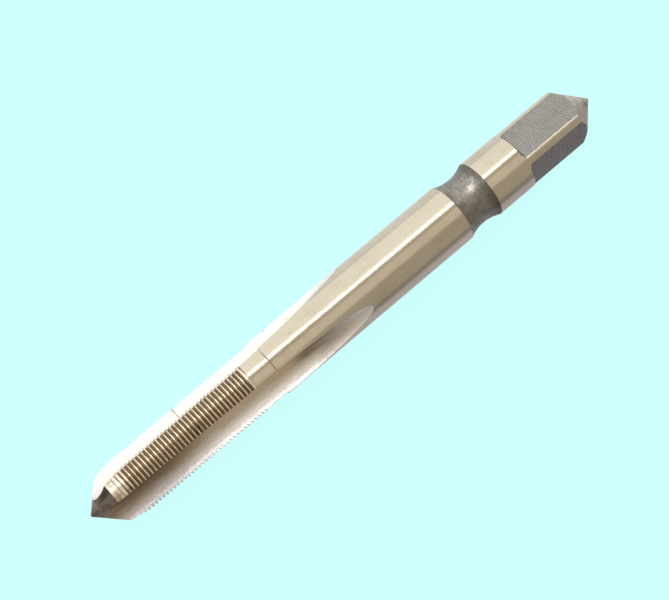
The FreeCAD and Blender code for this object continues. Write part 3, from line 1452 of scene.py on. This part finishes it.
@dataclass(frozen=True, kw_only=True)
class RidgedSteel(Steel):
    """Flats: ground across by a coarse wheel that left a ridge for each of its steps."""

    spacing: float = 0.24
    lean: float = 0.003
    wander: float = 0.30
    fine_share: float = 0.5
    valley_shade_share: float = 0.8
    valley_shade_colour: Colour = (0.11, 0.105, 0.10, 1.0)
    down_shade_from: float = 28.0
    down_shade_to: float = 40.0
    down_shade_share: float = 0.3

    def ridges(self, nodes: Nodes, effects: Effects) -> Socket:
        """Height of the ridges, from 0 to 1."""
        values = {"Spacing": self.spacing, "Lean": self.lean, "Wander": self.wander}
        return nodes.use(effects.ridges, values)[0]

    def marks(self, nodes: Nodes, effects: Effects, place: Outputs, colour: Socket) -> Socket:
        """Paint shade into the valleys between the ridges, and over the whole of the flat that is turned
        down.

        Args:
            nodes: Nodes of the material.
            effects: The shared effects.
            place: Where the surface is on the tap.
            colour: Colour without the painted shade.

        Returns:
            Colour with the painted shade.
        """
        # painted shade in the valleys between the bumped ridges
        valley = nodes.math("SUBTRACT", 1.0, self.ridges(nodes, effects))
        # painted shade over the flat that faces down
        turned_down = nodes.ramp(place["Turn"], self.down_shade_from, self.down_shade_to)
        down_shade = nodes.math("MULTIPLY", turned_down, self.down_shade_share)
        colour = nodes.blend(down_shade, colour, self.valley_shade_colour)
        return nodes.blend(nodes.math("MULTIPLY", valley, self.valley_shade_share), colour, self.valley_shade_colour)

    def height(self, nodes: Nodes, effects: Effects, grain: Socket) -> Socket:
        """Ridges with the wheel's finer lines on them."""
        return nodes.math("MULTIPLY_ADD", grain, self.fine_share, self.ridges(nodes, effects))


BROWN = (0.30, 0.20, 0.11, 1.0)
DULL = (0.42, 0.35, 0.25, 1.0)
SOOT = (0.10, 0.085, 0.07, 1.0)
BRIGHT = (0.95, 0.93, 0.90, 1.0)

FINISHES = (
    PointSteel(
        zone=Zone.FRONT_CONE, colour=(0.29, 0.25, 0.22, 1.0), roughness=0.38,
        lines=Lines(along=9.0, round=1.2, tint=0.25, gloss=0.08, depth=0.006, seed=1.0),
        layers=(Stain(colour=SOOT, share=0.6, size=0.7, level=0.52, edge=0.12),
                Stain(colour=DULL, share=0.5, size=0.35, level=0.60, edge=0.05, seed=4.0),
                Specks(colour=BRIGHT, share=0.5, size=0.25, chosen=0.06))),
    ToothSteel(
        zone=Zone.THREAD, colour=(0.84, 0.79, 0.68, 1.0), roughness=0.27,
        lines=Lines(along=3.0, round=3.0, tint=0.10, gloss=0.05, depth=0.004, seed=2.0),
        layers=(Stain(colour=DULL, share=0.6, size=0.8, level=0.56),
                Specks(colour=BROWN, share=0.6, size=0.4, chosen=0.12)),
        spots=(Spot(colour=BROWN, share=0.8, along=3.3, turn=20.0, reach=0.9, grain=0.7),
               Spot(colour=BROWN, share=0.6, along=4.6, turn=24.0, reach=0.9, grain=0.5),
               Spot(colour=SOOT, share=0.5, along=14.0, turn=18.0, reach=1.0, grain=0.5))),
    Steel(
        zone=Zone.SHANK, colour=(0.68, 0.63, 0.53, 1.0), roughness=0.22, anisotropy=0.55,
        lines=Lines(along=14.0, round=0.25, tint=0.05, gloss=0.03, depth=0.0006, seed=3.0),
        layers=(Stain(colour=DULL, share=0.22, size=2.4, level=0.56, edge=0.12, stretch=2.5),
                Stain(colour=BROWN, share=0.35, size=0.5, level=0.68, edge=0.05, seed=2.0),
                Specks(colour=BROWN, share=0.35, size=0.35, chosen=0.05))),
    FluteSteel(
        zone=Zone.FLUTE, colour=(0.96, 0.95, 0.96, 1.0), roughness=0.40, anisotropy=0.25,
        across_lines=0.0,
        lines=Lines(along=0.12, round=9.0, tint=0.05, gloss=0.05, depth=0.003, seed=4.0),
        layers=(Stain(colour=DULL, share=0.35, size=0.7, level=0.63, edge=0.06, stretch=4.0),
                Specks(colour=BROWN, share=0.5, size=0.45, chosen=0.06))),
    NeckSteel(
        zone=Zone.NECK, colour=(0.33, 0.32, 0.30, 1.0), roughness=0.40,
        lines=Lines(along=8.0, round=1.5, tint=0.18, gloss=0.05, depth=0.008, seed=5.0),
        layers=(Stain(colour=SOOT, share=0.35, size=0.9, level=0.54, edge=0.12),
                Specks(colour=BRIGHT, share=0.6, size=0.22, chosen=0.05)),
        # the two bright spots on the neck are painted highlights, where the line lamp's glint falls
        spots=(Spot(colour=BRIGHT, along=54.2, turn=-2.0, reach=0.8, grain=0.2),
               Spot(colour=BRIGHT, share=0.6, along=54.9, turn=-14.0, reach=0.6, grain=0.15))),
    RidgedSteel(
        zone=Zone.FLAT, colour=(0.45, 0.45, 0.45, 1.0), roughness=0.42,
        lines=Lines(along=16.0, round=1.0, tint=0.15, gloss=0.06, depth=0.010, seed=6.0),
        layers=(Stain(colour=SOOT, share=0.25, size=1.2, level=0.60, edge=0.10),
                Specks(colour=BRIGHT, share=0.4, size=0.2, chosen=0.04))),
    Steel(
        zone=Zone.REAR_CONE, colour=(0.60, 0.57, 0.51, 1.0), roughness=0.34,
        lines=Lines(along=10.0, round=0.6, tint=0.14, gloss=0.05, depth=0.005, seed=7.0),
        layers=(Stain(colour=SOOT, share=0.35, size=0.9, level=0.56, edge=0.10, seed=5.0),
                Stain(colour=BROWN, share=0.5, size=0.5, level=0.62, edge=0.06, seed=6.0),
                Specks(colour=BRIGHT, share=0.5, size=0.22, chosen=0.05)),
        spots=(Spot(colour=BROWN, along=69.8, turn=-50.0, reach=0.7, grain=0.5),
               Spot(colour=SOOT, share=0.5, along=71.4, turn=20.0, reach=1.0, grain=0.6))),
)


def emptied(owner: bpy.types.Material | bpy.types.World) -> Nodes:
    """Nodes of a material or of the world, without those that Blender puts there.

    Args:
        owner: The material or the world.

    Returns:
        Its nodes.
    """
    owner.use_nodes = True
    owner.node_tree.nodes.clear()
    return Nodes(owner.node_tree)


def linked(name: str, data: bpy.types.ID) -> bpy.types.Object:
    """Object in the scene.

    Args:
        name: Name of the object.
        data: Its mesh, camera or light.

    Returns:
        The object.
    """
    thing = bpy.data.objects.new(name, data)
    bpy.context.scene.collection.objects.link(thing)
    return thing


@dataclass
class Tap:
    """The whole tap: one solid form with a finish for each stretch of its surface."""

    form: TapForm = field(default_factory=TapForm)
    name: str = "tap_ground_steel"

    def build(self, tip: Vector) -> bpy.types.Object:
        """Make the tap and tie it to the frame.

        Args:
            tip: Where the axis meets the front end, in metres.

        Returns:
            The tap.
        """
        mesh = self.form.mesh(self.name, tip)
        effects = Effects(tip)
        for steel in FINISHES:
            mesh.materials.append(steel.material(effects))
        tap = linked(self.name, mesh)
        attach(tap, "root")
        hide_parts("tap")
        return tap


@dataclass(frozen=True)
class PhotoCamera:
    """Camera that sees the tap as the photograph does.

    The cutting point's place and the axis are given as the camera sees them: to its right, down
    and ahead.
    """

    name: str = "photo_camera"
    lens: float = 113.0
    sensor: float = 36.0
    point_right: float = -25.67
    point_down: float = 22.83
    point_ahead: float = 221.65
    axis_climb: float = 40.00
    axis_away: float = 12.02
    land_lean: float = 12.0
    clip_near: float = 0.01
    clip_far: float = 20.0

    def build(self, tip: Vector) -> None:
        """Add the camera and make it the scene's own.

        Args:
            tip: Where the axis meets the front end, in metres.
        """
        climb, away = math.radians(self.axis_climb), math.radians(self.axis_away)
        lean = math.radians(self.land_lean)
        point = Vector((self.point_right, self.point_down, self.point_ahead)) * MM
        axis = Vector((math.cos(away) * math.cos(climb), -math.cos(away) * math.sin(climb), math.sin(away)))
        near = (axis * point.dot(axis) - point).normalized()
        seen = Matrix((axis, near, axis.cross(near)))
        along = Vector((1.0, 0.0, 0.0))
        faced = Vector((0.0, -math.sin(lean), math.cos(lean)))
        placed = Matrix((along, faced, along.cross(faced))).transposed()
        turn = placed @ seen
        data = bpy.data.cameras.new(self.name)
        data.lens, data.sensor_width, data.sensor_fit = self.lens, self.sensor, "HORIZONTAL"
        data.clip_start, data.clip_end = self.clip_near, self.clip_far
        camera = linked(self.name, data)
        flip = Matrix.Diagonal((1.0, -1.0, -1.0))
        camera.matrix_world = Matrix.Translation(tip - turn @ point) @ (turn @ flip).to_4x4()
        bpy.context.scene.camera = camera


@dataclass(frozen=True, kw_only=True)
class Lamp:
    """One soft panel, hung over the tap and turned towards it."""

    name: str
    turn: float
    reach: float
    along: float
    across: float
    centre: float
    radiance: float
    colour: tuple[float, float, float]

    def build(self, target: Vector) -> None:
        """Add the panel.

        Args:
            target: Point that it faces, in metres.
        """
        data = bpy.data.lights.new(self.name, "AREA")
        data.shape, data.size, data.size_y = "RECTANGLE", self.along, self.across
        data.energy = self.radiance * math.pi * self.along * self.across
        data.color = self.colour
        angle = math.radians(self.turn)
        away = Vector((0.0, -math.sin(angle), math.cos(angle)))
        along = Vector((1.0, 0.0, 0.0))
        place = target + away * self.reach + along * self.centre
        turned = Matrix((along, away.cross(along), away)).transposed()
        linked(self.name, data).matrix_world = Matrix.Translation(place) @ turned.to_4x4()


@dataclass(frozen=True)
class Studio:
    """Plain pale floor, dim surroundings and soft panels."""

    floor_colour: Colour = (0.610, 1.0, 0.991, 1.0)
    surroundings: Colour = (0.46, 0.405, 0.32, 1.0)
    floor_size: float = 3.0
    own_light: float = 0.91
    own_strength: float = 1.045
    mirrored: tuple[tuple[float, Colour], ...] = (
        (-60.0, (0.41, 0.37, 0.31, 1.0)),
        (-18.0, (0.27, 0.25, 0.23, 1.0)),
        (-9.0, (0.56, 0.53, 0.56, 1.0)),
        (-1.0, (0.50, 0.46, 0.45, 1.0)),
        (6.0, (0.90, 0.90, 0.88, 1.0)),
    )
    lamps: tuple[Lamp, ...] = (
        Lamp(name="side_panel", turn=-52.0, reach=0.8, along=1.8, across=1.15, centre=0.1,
             radiance=0.70, colour=(0.97, 1.0, 1.0)),
        Lamp(name="overhead_panel", turn=20.0, reach=0.8, along=1.6, across=0.45, centre=0.1,
             radiance=0.28, colour=(1.0, 0.93, 0.82)),
        Lamp(name="line_panel", turn=-13.6, reach=0.5, along=1.4, across=0.042, centre=0.1,
             radiance=5.0, colour=(1.0, 0.98, 0.95)),
    )

    def build(self, target: Vector) -> None:
        """Set up the world, the floor and the lamps.

        Args:
            target: Point that the lamps face, in metres.
        """
        scene = bpy.context.scene
        scene.view_settings.view_transform = "Standard"
        scene.world = self.world()
        self.floor()
        for lamp in self.lamps:
            lamp.build(target)

    def world(self) -> bpy.types.World:
        """Make the world.

        Returns:
            Dim warm surroundings, which the camera sees in the floor's colour.
        """
        world = bpy.data.worlds.new("surroundings")
        nodes = emptied(world)
        rays = nodes.add("ShaderNodeLightPath").outputs
        seen = nodes.blend(rays["Is Camera Ray"], self.surroundings, self.floor_colour)
        light = nodes.add("ShaderNodeBackground", {"Color": seen})
        nodes.add("ShaderNodeOutputWorld", {"Surface": light.outputs[0]})
        return world

    def mirrored_colour(self, nodes: Nodes) -> Socket:
        """What steel mirrors of the floor.

        Args:
            nodes: Nodes of the floor's material.

        Returns:
            Colour that changes from the shaded side of the tap to the lit one.
        """
        low, high = self.mirrored[0][0], self.mirrored[-1][0]
        where = nodes.add("ShaderNodeTexCoord").outputs["Object"]
        across = nodes.add("ShaderNodeSeparateXYZ", {0: where}).outputs["Y"]
        inputs = {"Value": across, "From Min": low * MM, "From Max": high * MM}
        share = nodes.add("ShaderNodeMapRange", inputs).outputs[0]
        ramp = nodes.add("ShaderNodeValToRGB", {0: share})
        stops = ramp.color_ramp.elements
        for place, colour in self.mirrored[1:-1]:
            stops.new((place - low) / (high - low)).color = colour
        stops[0].color, stops[-1].color = self.mirrored[0][1], self.mirrored[-1][1]
        return ramp.outputs[0]

    def floor_material(self) -> bpy.types.Material:
        """Make the floor's material.

        Returns:
            The material, in its own pale colour with the tap's shadow, and dimmer in mirrors.
        """
        material = bpy.data.materials.new("pale_floor")
        nodes = emptied(material)
        rays = nodes.add("ShaderNodeLightPath").outputs
        paint = nodes.add("ShaderNodeBsdfDiffuse", {"Color": self.floor_colour})
        seen = nodes.add("ShaderNodeEmission", {"Color": self.floor_colour, "Strength": self.own_strength})
        mirrored = nodes.add("ShaderNodeEmission", {"Color": self.mirrored_colour(nodes)})
        share = nodes.math("MULTIPLY", rays["Is Camera Ray"], self.own_light)
        inputs = {"Fac": share, 1: paint.outputs[0], 2: seen.outputs[0]}
        straight = nodes.add("ShaderNodeMixShader", inputs)
        bounced = nodes.math("MAXIMUM", rays["Is Glossy Ray"], rays["Is Transmission Ray"])
        inputs = {"Fac": bounced, 1: straight.outputs[0], 2: mirrored.outputs[0]}
        both = nodes.add("ShaderNodeMixShader", inputs)
        nodes.add("ShaderNodeOutputMaterial", {"Surface": both.outputs[0]})
        return material

    def floor(self) -> None:
        """Add the floor, which carries the tap and its shadow."""
        half = self.floor_size / 2
        mesh = bpy.data.meshes.new("floor")
        corners = [(-half, -half, 0), (half, -half, 0), (half, half, 0), (-half, half, 0)]
        mesh.from_pydata(corners, [], [(0, 1, 2, 3)])
        mesh.materials.append(self.floor_material())
        floor = linked("floor", mesh)


def main() -> None:
    """Build the tap, its finishes and the studio, and log the tap's face count."""
    logging.basicConfig(level=logging.INFO, format="%(name)s: %(message)s")
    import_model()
    low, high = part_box("tap")
    middle = (low + high) / 2
    tip = Vector((low.x, middle.y, middle.z))
    PhotoCamera().build(tip)
    tap = Tap().build(tip)
    log.info("%s: %d faces", tap.name, len(tap.data.polygons))
    Studio().build(middle)


if __name__ == "__main__":
    main()
